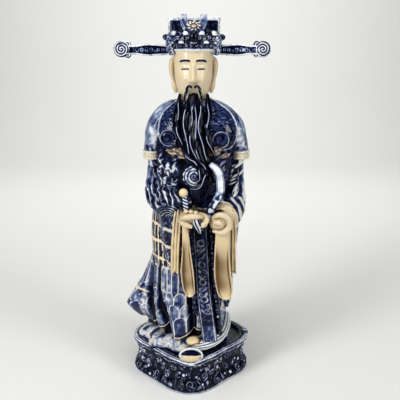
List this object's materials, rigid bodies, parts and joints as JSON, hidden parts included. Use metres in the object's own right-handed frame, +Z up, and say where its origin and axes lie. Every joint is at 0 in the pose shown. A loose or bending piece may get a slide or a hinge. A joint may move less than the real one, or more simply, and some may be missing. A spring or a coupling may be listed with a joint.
{
  "type": "porcelain fuxing statue",
  "caption": "Standing glazed porcelain figure of a bearded star god in a winged court hat and wide-sleeved robe, on a low rock base.",
  "frame": {"origin": "centre of the base on the plane it stands on", "axes": "+Z up along the figure, -Y the way the figure faces, +X to the right of someone looking at its face"},
  "size_m": [0.2501, 0.2128, 0.6],
  "materials": {
    "cobalt_glaze": "gloss",
    "cream_glaze": "gloss"
  },
  "bodies": {
    "root": {"fuxing_statue": "cobalt_glaze"}
  },
  "joints": []
}
